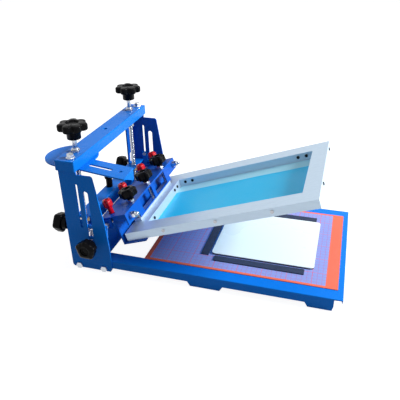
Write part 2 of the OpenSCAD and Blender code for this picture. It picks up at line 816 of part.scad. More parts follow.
module red_knob(y) {
  color([0.80, 0.05, 0.10])
  in_head() translate([red_a, y, chan_c + gap])
    star_knob(red_d, red_h, 11, red_hub, 6, 6 + 2 * run, red_hub + 6);
}

module red_knob_1() { red_knob(-red_out); }

module red_knob_2() { red_knob(-red_in); }

module red_knob_3() { red_knob(red_in); }

module red_knob_4() { red_knob(red_out); }

// Channel that holds the screen: top plate, web, lower lip, windowed face and an ear at each end
module clamp_channel() {
  color([0.12, 0.42, 0.85])
  in_head() difference() {
    union() {
      block([red_a - 15, -chan_y, chan_c - head_t], [chan_front, chan_y, chan_c]);
      block([web_a, -chan_y, lip_c - head_t], [web_a + head_t, chan_y, chan_c - head_t + 0.5]);
      block([web_a, -chan_y, lip_c - head_t], [web_a + lip_a, chan_y, lip_c]);
      both_sides() block([web_a + head_t - 0.5, -chan_y, chan_c - 10], [chan_front, -chan_y + head_t, chan_c]);
      block([chan_front - head_t, -95, face_low], [chan_front, 95, chan_c]);
      block([chan_front - head_t, -chan_y, 20], [chan_front, chan_y, chan_c]);
    }
    for (s = [-1, 1]) {
      block([chan_front - head_t - over, min(s * 7, s * (7 + win_w)), face_low + 3],
        [chan_front + over, max(s * 7, s * (7 + win_w)), chan_c - 4]);
      bar_along_x(s * rod_y, ear_c, web_a - over, chan_front + over, rod_d + 0.8);
    }
    for (y = [-red_out, -red_in, red_in, red_out])
      translate([red_a, y, chan_c - head_t - over]) linear_extrude(head_t + 2 * over) {
        translate([-slide - 0.5, 0]) circle(d = 6.8);
        translate([slide + 0.5, 0]) circle(d = 6.8);
        translate([-slide - 0.5, -3.4]) square([2 * slide + 1, 6.8]);
      }
    for (y = [-clamp_gap, 0, clamp_gap])
      translate([clamp_a, y, chan_c - head_t - over])
        cylinder(h = head_t + 2 * over, d = clamp_screw_d + 2 * run);
  }
}

// Nuts that hold the ears between them on the adjusting rods
module adjust_nuts() {
  color([0.82, 0.84, 0.86])
  in_head() for (y = [-rod_y, rod_y]) translate([0, y, ear_c]) rotate([0, 90, 0]) {
    translate([0, 0, chan_front - head_t - seat - nut_h]) hex_nut(13, nut_h, rod_d + 2 * run);
    translate([0, 0, chan_front + seat]) hex_nut(13, nut_h, rod_d + 2 * run);
    translate([0, 0, chan_front + 2 * seat + nut_h]) hex_nut(13, nut_h, rod_d + 2 * run);
  }
}

// Nuts on the top plate in which the clamp screws turn
module clamp_nuts() {
  color([0.82, 0.84, 0.86])
  in_head() for (y = [-clamp_gap, 0, clamp_gap])
    translate([clamp_a, y, chan_c + seat]) hex_nut(13, 5, clamp_screw_d + 2 * run);
}

// Bar that presses on the left bar of the screen frame
module pressure_bar() {
  color([0.75, 0.77, 0.83])
  in_head() difference() {
    block([clamp_a - press_w / 2 - 1, -clamp_gap - 6, seat], [clamp_a + press_w / 2 - 1, clamp_gap + 6, press_t]);
    for (y = [-clamp_gap, 0, clamp_gap])
      translate([clamp_a, y, press_t - 5]) cylinder(h = 5 + over, d = 5 + 2 * run);
  }
}

module clamp_screw(y) {
  color([0.80, 0.82, 0.85])
  in_head() translate([clamp_a, y, 0]) {
    translate([0, 0, press_t + seat]) cylinder(h = knob_c + clamp_bore - 0.5 - press_t - seat, d = clamp_screw_d);
    translate([0, 0, press_t - 4.5]) cylinder(h = 5, d = 5);
  }
}

module clamp_screw_1() { clamp_screw(-clamp_gap); }

module clamp_screw_2() { clamp_screw(0); }

module clamp_screw_3() { clamp_screw(clamp_gap); }

module clamp_knob(y) {
  color([0.05, 0.05, 0.06])
  in_head() translate([clamp_a, y, knob_c])
    star_knob(clamp_d, 20, 16, 5.5, 6, clamp_screw_d + 2 * run, clamp_bore);
}

module clamp_knob_1() { clamp_knob(-clamp_gap); }

module clamp_knob_2() { clamp_knob(0); }

module clamp_knob_3() { clamp_knob(clamp_gap); }

// Screen

// Places of the frame's screws: [a, b, turn about c] with the head of each screw facing outwards
near_as = [frame_len * 0.2194, frame_len * 0.502, frame_len * 0.7826];
far_as = [55.6, 74.8, frame_len - 68.3, frame_len - 49.7];
left_bs = [-73, 61.6, 80.6];
screw_c = -8;

// A screw whose head lies on a wall: position on the wall and the direction it faces
module frame_screw(a, b, turn) {
  translate([a, b, screw_c]) rotate([0, 0, turn]) rotate([0, 90, 0]) {
    translate([0, 0, seat]) cylinder(h = 1.4, d = 7);
    translate([0, 0, -4]) cylinder(h = 4.4, d = 4);
  }
}

module all_frame_screws() {
  for (a = near_as) frame_screw(a, -frame_y, -90);
  for (a = far_as) frame_screw(a, frame_y - frame_bar, -90);
  for (b = left_bs) frame_screw(frame_bar, b, 0);
  for (b = [-62, 112]) frame_screw(frame_len, b, 0);
}

// Holes that take the frame's screws
module screw_holes() {
  for (a = near_as) bar_along_y(a, screw_c, -frame_y - over, -frame_y + 5, 4.2);
  for (a = far_as) bar_along_y(a, screw_c, frame_y - frame_bar - over, frame_y - frame_bar + 5, 4.2);
  for (b = left_bs) bar_along_x(b, screw_c, frame_bar - 5, frame_bar + over, 4.2);
  for (b = [-62, 112]) bar_along_x(b, screw_c, frame_len - 5, frame_len + over, 4.2);
}

// A mitred hollow bar from its outline: the outer corners first, then the inner ones
module mitred_bar(outer, inner) {
  difference() {
    translate([0, 0, -frame_h]) linear_extrude(frame_h) polygon(outer);
    translate([0, 0, -frame_h + frame_wall]) linear_extrude(frame_h - 2 * frame_wall) polygon(inner);
    screw_holes();
  }
}

// The far bar's outline, or the near bar's when s is -1
module side_bar(s) {
  w = frame_wall;
  in = frame_y - frame_bar;
  mitred_bar(
    [[0, s * frame_y], [frame_len, s * frame_y], [frame_len - frame_end, s * in], [frame_bar, s * in]],
    [[4 * w, s * (frame_y - w)], [frame_len - 4 * w, s * (frame_y - w)],
      [frame_len - frame_end - 2 * w, s * (in + w)], [frame_bar + 2 * w, s * (in + w)]]);
}

module screen_bar_near() {
  color([0.80, 0.86, 0.92]) in_head() side_bar(-1);
}

module screen_bar_far() {
  color([0.84, 0.89, 0.93]) in_head() side_bar(1);
}

module screen_bar_left() {
  w = frame_wall;
  in = frame_y - frame_bar;
  color([0.88, 0.92, 0.96]) in_head() mitred_bar(
    [[0, -frame_y], [frame_bar, -in], [frame_bar, in], [0, frame_y]],
    [[w, -frame_y + 4 * w], [frame_bar - w, -in + 2 * w], [frame_bar - w, in - 2 * w],
      [w, frame_y - 4 * w]]);
}

module screen_bar_right() {
  w = frame_wall;
  in = frame_y - frame_bar;
  e = frame_len - frame_end;
  color([0.78, 0.84, 0.90]) in_head() mitred_bar(
    [[frame_len, -frame_y], [frame_len, frame_y], [e, in], [e, -in]],
    [[frame_len - w, -frame_y + 4 * w], [frame_len - w, frame_y - 4 * w], [e + w, in - 2 * w],
      [e + w, -in + 2 * w]]);
}

module screen_mesh() {
  color([0.25, 0.70, 0.95])
  in_head() block([3, -frame_y + 3, -frame_h - mesh_t], [frame_len - 3, frame_y - 3, -frame_h]);
}

module frame_screws() {
  color([0.10, 0.10, 0.11]) in_head() all_frame_screws();
}

base_tray();
grid_mat();
pallet();
stop_bar_left();
stop_bar_front();
stop_bar_rear();
upright_front();
upright_rear();
upright_bolts();
upright_nuts();
crossbar();
crossbar_bolts();
crossbar_nuts();
screw_bushes();
bush_nuts();
arm_plate();
height_screw_front();
height_screw_rear();
screw_collar_front();
screw_collar_rear();
height_knob_front();
height_knob_rear();
carriage_frame();
lead_nuts();
guide_pins();
lock_studs();
lock_spacers();
side_knob_front();
side_knob_rear();
back_knob_front();
back_knob_rear();
centre_knob();
hinge_shaft();
spring_pins();
lift_spring_front();
lift_spring_rear();
swing_plate();
spring_hooks();
red_studs();
adjust_rods();
red_knob_1();
red_knob_2();
red_knob_3();
red_knob_4();
clamp_channel();
adjust_nuts();
clamp_nuts();
pressure_bar();
clamp_screw_1();
clamp_screw_2();
clamp_screw_3();
clamp_knob_1();
clamp_knob_2();
clamp_knob_3();
screen_bar_near();
screen_bar_far();
screen_bar_left();
screen_bar_right();
screen_mesh();
frame_screws();
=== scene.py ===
import bmesh
import bpy
import json
import math
from mathutils import Matrix, Vector

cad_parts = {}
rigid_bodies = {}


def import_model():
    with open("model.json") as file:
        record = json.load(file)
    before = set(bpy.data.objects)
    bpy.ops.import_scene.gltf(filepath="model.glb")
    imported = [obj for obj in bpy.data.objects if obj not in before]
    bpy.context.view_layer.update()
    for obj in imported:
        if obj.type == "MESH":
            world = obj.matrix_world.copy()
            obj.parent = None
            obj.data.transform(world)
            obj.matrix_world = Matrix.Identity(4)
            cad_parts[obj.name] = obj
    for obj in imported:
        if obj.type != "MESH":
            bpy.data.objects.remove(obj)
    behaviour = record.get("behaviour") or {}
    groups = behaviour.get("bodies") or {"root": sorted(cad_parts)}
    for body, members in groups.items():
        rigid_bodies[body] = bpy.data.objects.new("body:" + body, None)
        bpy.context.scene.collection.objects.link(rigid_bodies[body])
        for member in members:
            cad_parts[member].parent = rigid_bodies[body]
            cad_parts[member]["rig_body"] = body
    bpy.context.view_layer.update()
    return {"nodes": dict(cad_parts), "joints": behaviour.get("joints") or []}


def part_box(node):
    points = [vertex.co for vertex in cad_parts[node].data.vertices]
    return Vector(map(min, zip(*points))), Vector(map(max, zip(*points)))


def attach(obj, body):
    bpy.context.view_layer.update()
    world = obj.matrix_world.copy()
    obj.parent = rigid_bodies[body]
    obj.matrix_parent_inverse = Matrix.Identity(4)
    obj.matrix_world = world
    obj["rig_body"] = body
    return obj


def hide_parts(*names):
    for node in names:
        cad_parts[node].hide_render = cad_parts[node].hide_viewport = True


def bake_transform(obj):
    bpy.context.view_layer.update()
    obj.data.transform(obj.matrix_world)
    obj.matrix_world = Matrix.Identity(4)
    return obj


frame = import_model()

# ---------------------------------------------------------------- studio
# The camera stands where the photograph was taken from. A white floor and sky,
# one broad lamp high on the right and a weak one in front light the press.
turn, drop, lean = math.radians(16.86), math.radians(28.70), math.radians(-0.89)
focal_px, frame_px, sensor_mm = 489.58, 400, 36
camera_from_tray, camera_y, camera_z = 0.517194, -0.9244, 0.63445
ahead = Vector((-math.sin(turn) * math.cos(drop), math.cos(turn) * math.cos(drop), -math.sin(drop)))
level = Vector((math.cos(turn), math.sin(turn), 0))
over = level.cross(ahead)
right = level * math.cos(lean) + over * math.sin(lean)
above = over * math.cos(lean) - level * math.sin(lean)
lens = bpy.data.cameras.new("camera")
lens.sensor_width, lens.lens = sensor_mm, sensor_mm * focal_px / frame_px
lens.clip_start, lens.clip_end = 0.01, 50
camera = bpy.data.objects.new("camera", lens)
camera_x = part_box("base_tray")[0].x + camera_from_tray
camera.matrix_world = Matrix.Translation((camera_x, camera_y, camera_z)) @ Matrix(
    (right, above, -ahead)).transposed().to_4x4()
bpy.context.scene.collection.objects.link(camera)
bpy.context.scene.camera = camera
bpy.context.scene.view_settings.view_transform = "Standard"


def add(tree, kind, at=(0, 0), **values):
    """A node of that kind in tree. A value is a property, or an input where its key is in_ and
    the input's number."""
    made = tree.nodes.new(kind)
    made.location = at
    for key, value in values.items():
        if key.startswith("in_"):
            made.inputs[int(key[3:])].default_value = value
        else:
            setattr(made, key, value)
    return made


def seen(tree):
    """1 where the camera, gloss or glass looks, and 0 for the light that falls on the press."""
    path = add(tree, "ShaderNodeLightPath")
    looked = add(tree, "ShaderNodeMath", operation="MAXIMUM")
    either_way = add(tree, "ShaderNodeMath", operation="MAXIMUM")
    tree.links.new(path.outputs["Is Camera Ray"], looked.inputs[0])
    tree.links.new(path.outputs["Is Glossy Ray"], looked.inputs[1])
    tree.links.new(looked.outputs[0], either_way.inputs[0])
    tree.links.new(path.outputs["Is Transmission Ray"], either_way.inputs[1])
    return either_way.outputs[0]


sky = bpy.data.worlds.new("studio")
bpy.context.scene.world = sky
sky.use_nodes = True
tree = sky.node_tree
tree.nodes.clear()
light = add(tree, "ShaderNodeBackground", in_0=(0.93, 0.96, 1.0, 1), in_1=0.24)
backdrop = add(tree, "ShaderNodeBackground", in_0=(1, 1, 1, 1), in_1=1.0)
mixed = add(tree, "ShaderNodeMixShader")
out = add(tree, "ShaderNodeOutputWorld")
tree.links.new(seen(tree), mixed.inputs[0])
tree.links.new(light.outputs[0], mixed.inputs[1])
tree.links.new(backdrop.outputs[0], mixed.inputs[2])
tree.links.new(mixed.outputs[0], out.inputs[0])


def lamp(name, at, aim, size, watts):
    """A round lamp at one point, turned to another."""
    data = bpy.data.lights.new(name, "AREA")
    data.shape, data.size, data.energy = "DISK", size, watts
    made = bpy.data.objects.new(name, data)
    made.matrix_world = Matrix.Translation(at) @ (
        Vector(aim) - Vector(at)).to_track_quat("-Z", "Y").to_matrix().to_4x4()
    bpy.context.scene.collection.objects.link(made)


lamp("key", (1.80, 0.38, 1.25), (0, 0, 0.1), 0.8, 68)
lamp("top", (-0.2, 0.5, 2.0), (0, 0, 0), 1.2, 8)
lamp("front", (0.2, -1.8, 1.1), (0, 0, 0.1), 1.2, 1.5)

reach, under_feet = 6, -0.0005
floor_mesh = bpy.data.meshes.new("floor")
floor_mesh.from_pydata([(x * reach, y * reach, under_feet) for x, y in ((-1, -1), (1, -1), (1, 1), (-1, 1))],
                       [], [(0, 1, 2, 3)])
floor = bpy.data.objects.new("floor", floor_mesh)
bpy.context.scene.collection.objects.link(floor)
paper = bpy.data.materials.new("floor_paper")
paper.use_nodes = True
tree = paper.node_tree
tree.nodes.clear()
card = add(tree, "ShaderNodeBsdfDiffuse", in_0=(0.34, 0.34, 0.34, 1))
glow = add(tree, "ShaderNodeEmission", in_0=(1, 1, 1, 1))
power = add(tree, "ShaderNodeMath", operation="MULTIPLY", in_1=0.92)
both = add(tree, "ShaderNodeAddShader")
out = add(tree, "ShaderNodeOutputMaterial")
tree.links.new(seen(tree), power.inputs[0])
tree.links.new(power.outputs[0], glow.inputs[1])
tree.links.new(card.outputs[0], both.inputs[0])
tree.links.new(glow.outputs[0], both.inputs[1])
tree.links.new(both.outputs[0], out.inputs[0])
floor.data.materials.append(paper)

# ---------------------------------------------------------------- base tray
# One sheet of 2 mm steel: the long sides and both ends are bent down, the foot tabs are cut
# from the side flanges, and the whole is powder coated a glossy royal blue.


def surface(name, colour, rough, metal=0.0, shade=0.08, patch=25.0, grain=0.0006, grain_scale=900.0,
            rough_swing=0.06, stretch=(1, 1, 1), **fixed):
    """A finish in Object coordinates: patches of a darker tone, uneven gloss and a fine relief."""
    made = bpy.data.materials.new(name)
    made.use_nodes = True
    tree = made.node_tree
    tree.nodes.clear()
    place = add(tree, "ShaderNodeTexCoord", (-1100, 0))
    scale = add(tree, "ShaderNodeMapping", (-900, 0))
    scale.inputs["Scale"].default_value = stretch
    cloud = add(tree, "ShaderNodeTexNoise", (-700, 200))
    cloud.inputs["Scale"].default_value = patch
    cloud.inputs["Detail"].default_value = 3
    dark = tuple(c * (1 - shade) for c in colour) + (1,)
    tone = add(tree, "ShaderNodeMix", (-450, 200), data_type="RGBA")
    tone.inputs[6].default_value = tuple(colour) + (1,)
    tone.inputs[7].default_value = dark
    fine = add(tree, "ShaderNodeTexNoise", (-700, -200))
    fine.inputs["Scale"].default_value = grain_scale
    fine.inputs["Detail"].default_value = 2
    gloss = add(tree, "ShaderNodeMapRange", (-450, -50))
    gloss.inputs["From Min"].default_value, gloss.inputs["From Max"].default_value = 0.35, 0.65
    gloss.inputs["To Min"].default_value = max(rough - rough_swing, 0.02)
    gloss.inputs["To Max"].default_value = min(rough + rough_swing, 1)
    relief = add(tree, "ShaderNodeBump", (-450, -300))
    relief.inputs["Strength"].default_value = 0.5
    relief.inputs["Distance"].default_value = grain * 0.1
    shader = add(tree, "ShaderNodeBsdfPrincipled", (-150, 0))
    shader.inputs["Metallic"].default_value = metal
    for key, value in fixed.items():
        shader.inputs[key.replace("_", " ")].default_value = value
    out = add(tree, "ShaderNodeOutputMaterial", (150, 0))
    link = tree.links.new
    link(place.outputs["Object"], scale.inputs["Vector"])
    link(scale.outputs["Vector"], cloud.inputs["Vector"])
    link(scale.outputs["Vector"], fine.inputs["Vector"])
    link(cloud.outputs["Fac"], tone.inputs[0])
    link(cloud.outputs["Fac"], gloss.inputs["Value"])
    link(fine.outputs["Fac"], relief.inputs["Height"])
    link(tone.outputs[2], shader.inputs["Base Color"])
    link(gloss.outputs["Result"], shader.inputs["Roughness"])
    link(relief.outputs["Normal"], shader.inputs["Normal"])
    link(shader.outputs[0], out.inputs[0])
    return made


def finish_faces(mesh, angle=32):
    """Smooth faces, with creases kept where they meet at more than the angle."""
    for face in mesh.polygons:
        face.use_smooth = True
    mesh.set_sharp_from_angle(angle=math.radians(angle))


def piece(name, mesh, finish, *nodes):
    """Puts a mesh in the scene in place of these CAD nodes, on the body that the first rides on."""
    mesh.materials.clear()
    mesh.materials.append(finish)
    made = bpy.data.objects.new(name, mesh)
    bpy.context.scene.collection.objects.link(made)
    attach(made, frame["nodes"][nodes[0]]["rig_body"])
    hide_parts(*nodes)
    return made


def eased(node, finish, edge=0.0004, bends=(), angle=40):
    """The CAD node again, with rounded bends and eased cut edges. A bend is (test, radius): the
    test takes an edge's two ends."""
    mesh = frame["nodes"][node].data.copy()
    bm = bmesh.new()
    bm.from_mesh(mesh)
    bmesh.ops.remove_doubles(bm, verts=bm.verts, dist=2e-6)
    bmesh.ops.dissolve_limit(bm, angle_limit=math.radians(0.5), verts=bm.verts, edges=bm.edges)
    sharp = math.radians(angle)
    for test, radius in bends:
        bend = [e for e in bm.edges if len(e.link_faces) == 2 and e.calc_face_angle(0) > sharp
                and test(e.verts[0].co, e.verts[1].co)]
        if bend:
            bmesh.ops.bevel(bm, geom=bend, offset=radius, offset_type="OFFSET", segments=5, profile=0.5,
                            affect="EDGES", clamp_overlap=True)
    if edge:
        rim = [e for e in bm.edges if len(e.link_faces) == 2 and e.calc_face_angle(0) > sharp]
        bmesh.ops.bevel(bm, geom=rim, offset=edge, offset_type="OFFSET", segments=2, profile=0.6,
                        affect="EDGES", clamp_overlap=True)
    bm.to_mesh(mesh)
    bm.free()
    finish_faces(mesh)
    made = piece(node + "_piece", mesh, finish, node)
    flat = made.modifiers.new("flat faces", "WEIGHTED_NORMAL")
    flat.keep_sharp = True
    return made


def near(value, wanted, slack=0.0003):
    return abs(value - wanted) < slack


def lies_at(p, q, **places):
    """Whether both ends of an edge lie at these coordinates."""
    return all(near(getattr(end, axis), wanted) for end in (p, q) for axis, wanted in places.items())


blue = surface("powder_coat_blue", (0.004, 0.195, 0.770), 0.32, shade=0.10, patch=18, grain=0.004,
               grain_scale=650, Specular_IOR_Level=0.09)
low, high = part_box("base_tray")
bend_r = 0.003
eased("base_tray", blue, bends=[
    (lambda p, q: lies_at(p, q, z=high.z) and near(abs(p.y), high.y) and near(abs(q.y), high.y), bend_r),
    (lambda p, q: lies_at(p, q, z=high.z, x=high.x) or lies_at(p, q, z=high.z, x=low.x), bend_r)])

# ---------------------------------------------------------------- grid mat
# A thin orange rubber mat laid on the deck. A dense violet grid with red lines at every
# centimetre is printed on it and leaves a plain orange border.


def first(tree, kind):
    """The first node of that type in tree."""
    return next(node for node in tree.nodes if node.type == kind)


def printed_grid(name, lo, hi):
    """Orange ground, and between the corners lo and hi a violet field with three sets of lines."""
    made = surface(name, (0.92, 0.17, 0.10), 0.6, shade=0.10, patch=30, grain=0.004, grain_scale=1500,
                   Specular_IOR_Level=0.2)
    tree = made.node_tree
    link = tree.links.new
    shader = first(tree, "BSDF_PRINCIPLED")
    ground = shader.inputs["Base Color"].links[0].from_socket
    split = add(tree, "ShaderNodeSeparateXYZ", (-1100, 600))
    link(first(tree, "TEX_COORD").outputs["Object"], split.inputs[0])

    def lines(axis, pitch, width):
        """1 on the lines across an axis."""
        ratio = add(tree, "ShaderNodeMath", operation="MULTIPLY", in_1=1 / pitch)
        part = add(tree, "ShaderNodeMath", operation="FRACT")
        off = add(tree, "ShaderNodeMath", operation="SUBTRACT", in_1=0.5)
        size = add(tree, "ShaderNodeMath", operation="ABSOLUTE")
        mask = add(tree, "ShaderNodeMath", operation="GREATER_THAN", in_1=0.5 - width / pitch / 2)
        link(split.outputs[axis], ratio.inputs[0])
        for a, b in ((ratio, part), (part, off), (off, size), (size, mask)):
            link(a.outputs[0], b.inputs[0])
        return mask.outputs[0]

    def either(a, b):
        """1 where one of two masks is 1."""
        most = add(tree, "ShaderNodeMath", operation="MAXIMUM")
        link(a, most.inputs[0])
        link(b, most.inputs[1])
        return most.outputs[0]

    def over_paint(under, mask, colour):
        """A colour printed over what lies under it, where the mask is 1."""
        mix = add(tree, "ShaderNodeMix", data_type="RGBA")
        mix.inputs[7].default_value = colour
        link(mask, mix.inputs[0])
        link(under, mix.inputs[6])
        return mix.outputs[2]

    def inside():
        """1 between the field's corners."""
        total = None
        for axis, a, b in ((0, lo[0], hi[0]), (1, lo[1], hi[1])):
            for value, operation in ((a, "GREATER_THAN"), (b, "LESS_THAN")):
                test = add(tree, "ShaderNodeMath", operation=operation, in_1=value)
                link(split.outputs[axis], test.inputs[0])
                if total is None:
                    total = test.outputs[0]
                else:
                    both = add(tree, "ShaderNodeMath", operation="MULTIPLY")
                    link(total, both.inputs[0])
                    link(test.outputs[0], both.inputs[1])
                    total = both.outputs[0]
        return total

    field = add(tree, "ShaderNodeRGB")
    field.outputs[0].default_value = (0.250, 0.270, 0.600, 1)
    colour = field.outputs[0]
    for pitch, width, ink in ((0.002, 0.0007, (0.30, 0.38, 0.76, 1)),
                              (0.010, 0.0006, (0.46, 0.21, 0.46, 1)),
                              (0.050, 0.0010, (0.72, 0.16, 0.28, 1))):
        colour = over_paint(colour, either(lines(0, pitch, width), lines(1, pitch, width)), ink)
    mix = add(tree, "ShaderNodeMix", data_type="RGBA")
    link(inside(), mix.inputs[0])
    link(ground, mix.inputs[6])
    link(colour, mix.inputs[7])
    link(mix.outputs[2], shader.inputs["Base Color"])
    return made


low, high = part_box("grid_mat")
left_border, right_border, side_border = 0.010, 0.024, 0.006
mat_print = printed_grid("printed_grid", (low.x + left_border, low.y + side_border),
                         (high.x - right_border, high.y - side_border))
eased("grid_mat", mat_print, 0.0003)

# ---------------------------------------------------------------- pallet and stop bars
# A white laminated board with round corners, coloured near black below its top 1.6 mm, and three
# dark grey rubber bars that are stuck down round it as stops for the material to be printed.
low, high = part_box("pallet")
white = surface("white_laminate", (0.88, 0.93, 0.92), 0.28, shade=0.02, patch=10, grain=0.002, grain_scale=700,
                Specular_IOR_Level=0.3)
tree = white.node_tree
split = add(tree, "ShaderNodeSeparateXYZ")
tree.links.new(first(tree, "TEX_COORD").outputs["Object"], split.inputs[0])
# Below the board's top 1.6 mm its colour is near black.
board_t = 0.0016
below = add(tree, "ShaderNodeMath", operation="LESS_THAN", in_1=high.z - board_t)
tree.links.new(split.outputs[2], below.inputs[0])
lower_band = add(tree, "ShaderNodeMix", data_type="RGBA")
lower_band.inputs[7].default_value = (0.012, 0.018, 0.035, 1)
shader = first(tree, "BSDF_PRINCIPLED")
tree.links.new(shader.inputs["Base Color"].links[0].from_socket, lower_band.inputs[6])
tree.links.new(below.outputs[0], lower_band.inputs[0])
tree.links.new(lower_band.outputs[2], shader.inputs["Base Color"])
eased("pallet", white, 0.0006)
slate = surface("slate_rubber", (0.036, 0.050, 0.100), 0.7, shade=0.25, patch=60, grain=0.010, grain_scale=1800,
                rough_swing=0.1, Specular_IOR_Level=0.2)
for bar in ("stop_bar_left", "stop_bar_front", "stop_bar_rear"):
    eased(bar, slate, 0.0003)

# ---------------------------------------------------------------- uprights
# Two bent steel plates bolted outside the tray, each with a wide slot for a lock stud, a thin one
# for a guide pin, a flange along its back and a tab at the top. The rear one and the head get a
# darker blue that is painted shade, because they are seen in the shade.
painted_shade_blue = surface("powder_coat_in_shade", (0.005, 0.100, 0.520), 0.32, shade=0.12, patch=18, grain=0.004,
               grain_scale=650, Specular_IOR_Level=0.08)
for side in ("front", "rear"):
    low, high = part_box("upright_" + side)
    outer = low.y if side == "front" else high.y
    eased("upright_" + side, blue if side == "front" else painted_shade_blue, bends=[
        (lambda p, q: lies_at(p, q, x=low.x, y=outer), 0.004),
        (lambda p, q: lies_at(p, q, z=high.z, y=outer), bend_r)])
zinc = surface("zinc_plate", (0.60, 0.63, 0.68), 0.22, metal=1.0, shade=0.18, patch=60, grain=0.001,
               grain_scale=900, rough_swing=0.08)
for node in ("upright_bolts", "upright_nuts"):
    eased(node, zinc, 0.0007)

# ---------------------------------------------------------------- crossbar
# A channel bent from sheet and open below, closed at its ends. It ties the uprights together
# and carries the two height screws in flanged bushes.
low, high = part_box("crossbar")


def on_side(p, q):
    return near(p.x, q.x) and (near(p.x, low.x) or near(p.x, high.x))


def on_end(p, q):
    return near(p.y, q.y) and near(abs(p.y), high.y)


eased("crossbar", blue, bends=[
    (lambda p, q: lies_at(p, q, z=high.z) and (on_side(p, q) or on_end(p, q)), bend_r),
    (lambda p, q: on_side(p, q) and on_end(p, q), bend_r)])
for node in ("crossbar_bolts", "crossbar_nuts"):
    eased(node, zinc, 0.0007)
steel = surface("turned_steel", (0.46, 0.47, 0.50), 0.32, metal=1.0, shade=0.12, patch=80, grain=0.001,
                grain_scale=900)
eased("screw_bushes", steel)
eased("bush_nuts", zinc, 0.0005)

# ---------------------------------------------------------------- arm plate
# A flat arm that swings on the front bush under the crossbar. It has a large round tail, a long
# slot, a hole, and an end that is bent down.
eased("arm_plate", blue)

# ---------------------------------------------------------------- height screws
# Two bright threaded rods that turn in the crossbar's bushes, each with a shoulder above the
# bush, a thrust ring below it, and a big black moulded star knob on top.


def new_tree(name, sizes):
    """An empty Geometry Nodes tree with these named inputs, and its input and output nodes."""
    tree = bpy.data.node_groups.new(name, "GeometryNodeTree")
    tree.interface.new_socket("Geometry", in_out="INPUT", socket_type="NodeSocketGeometry")
    for size in sizes:
        tree.interface.new_socket(size, in_out="INPUT", socket_type="NodeSocketFloat")
    tree.interface.new_socket("Finish", in_out="INPUT", socket_type="NodeSocketMaterial")
    tree.interface.new_socket("Geometry", in_out="OUTPUT", socket_type="NodeSocketGeometry")
    return tree, tree.nodes.new("NodeGroupInput"), tree.nodes.new("NodeGroupOutput")


def close_tree(tree, inputs, outputs, shape):
    """Ends a tree with Realize Instances and Set Material."""
    real = tree.nodes.new("GeometryNodeRealizeInstances")
    paint = tree.nodes.new("GeometryNodeSetMaterial")
    tree.links.new(shape, real.inputs[0])
    tree.links.new(real.outputs[0], paint.inputs["Geometry"])
    tree.links.new(inputs.outputs["Finish"], paint.inputs["Material"])
    tree.links.new(paint.outputs[0], outputs.inputs[0])


def grown(tree, finish, carrier, **sizes):
    """The plain mesh that a tree makes on a carrier object with these sizes."""
    modifier = carrier.modifiers.new("grown", "NODES")
    modifier.node_group = tree
    for item in tree.interface.items_tree:
        if item.item_type == "SOCKET" and item.in_out == "INPUT":
            if item.name in sizes:
                modifier[item.identifier] = sizes[item.name]
            elif item.name == "Finish":
                modifier[item.identifier] = finish
    if carrier.name not in bpy.context.scene.collection.objects:
        bpy.context.scene.collection.objects.link(carrier)
    bpy.context.view_layer.update()
    shown = carrier.evaluated_get(bpy.context.evaluated_depsgraph_get())
    mesh = bpy.data.meshes.new_from_object(shown)
    bpy.data.objects.remove(carrier)
    return mesh


def thread_tree():
    """A screw thread on the Z axis: a plain core and a ridge that winds round it."""
    tree, inputs, outputs = new_tree("thread", ("Length", "Radius", "Pitch", "Depth"))
    link = tree.links.new
    turns = add(tree, "ShaderNodeMath", operation="DIVIDE")
    link(inputs.outputs["Length"], turns.inputs[0])
    link(inputs.outputs["Pitch"], turns.inputs[1])
    core = add(tree, "ShaderNodeMath", operation="SUBTRACT")
    link(inputs.outputs["Radius"], core.inputs[0])
    link(inputs.outputs["Depth"], core.inputs[1])
    winding = tree.nodes.new("GeometryNodeCurveSpiral")
    winding.inputs["Resolution"].default_value = 14
    link(turns.outputs[0], winding.inputs["Rotations"])
    link(core.outputs[0], winding.inputs["Start Radius"])
    link(core.outputs[0], winding.inputs["End Radius"])
    link(inputs.outputs["Length"], winding.inputs["Height"])
    ridge = tree.nodes.new("GeometryNodeCurvePrimitiveCircle")
    ridge.inputs["Resolution"].default_value = 5
    link(inputs.outputs["Depth"], ridge.inputs["Radius"])
    wound = tree.nodes.new("GeometryNodeCurveToMesh")
    wound.inputs["Fill Caps"].default_value = True
    link(winding.outputs[0], wound.inputs["Curve"])
    link(ridge.outputs[0], wound.inputs["Profile Curve"])
    bar = tree.nodes.new("GeometryNodeMeshCylinder")
    bar.inputs["Vertices"].default_value = 28
    link(core.outputs[0], bar.inputs["Radius"])
    link(inputs.outputs["Length"], bar.inputs["Depth"])
    half = add(tree, "ShaderNodeMath", operation="MULTIPLY", in_1=0.5)
    link(inputs.outputs["Length"], half.inputs[0])
    lift = tree.nodes.new("ShaderNodeCombineXYZ")
    link(half.outputs[0], lift.inputs["Z"])
    raised = tree.nodes.new("GeometryNodeTransform")
    link(bar.outputs["Mesh"], raised.inputs["Geometry"])
    link(lift.outputs[0], raised.inputs["Translation"])
    both = tree.nodes.new("GeometryNodeJoinGeometry")
    link(wound.outputs[0], both.inputs[0])
    link(raised.outputs[0], both.inputs[0])
    close_tree(tree, inputs, outputs, both.outputs[0])
    return tree


thread = thread_tree()


def upright_to(a, b):
    """The turn and shift that stand the Z axis on a, pointing to b."""
    return Matrix.Translation(a) @ Vector((0, 0, 1)).rotation_difference((b - a).normalized()).to_matrix().to_4x4()


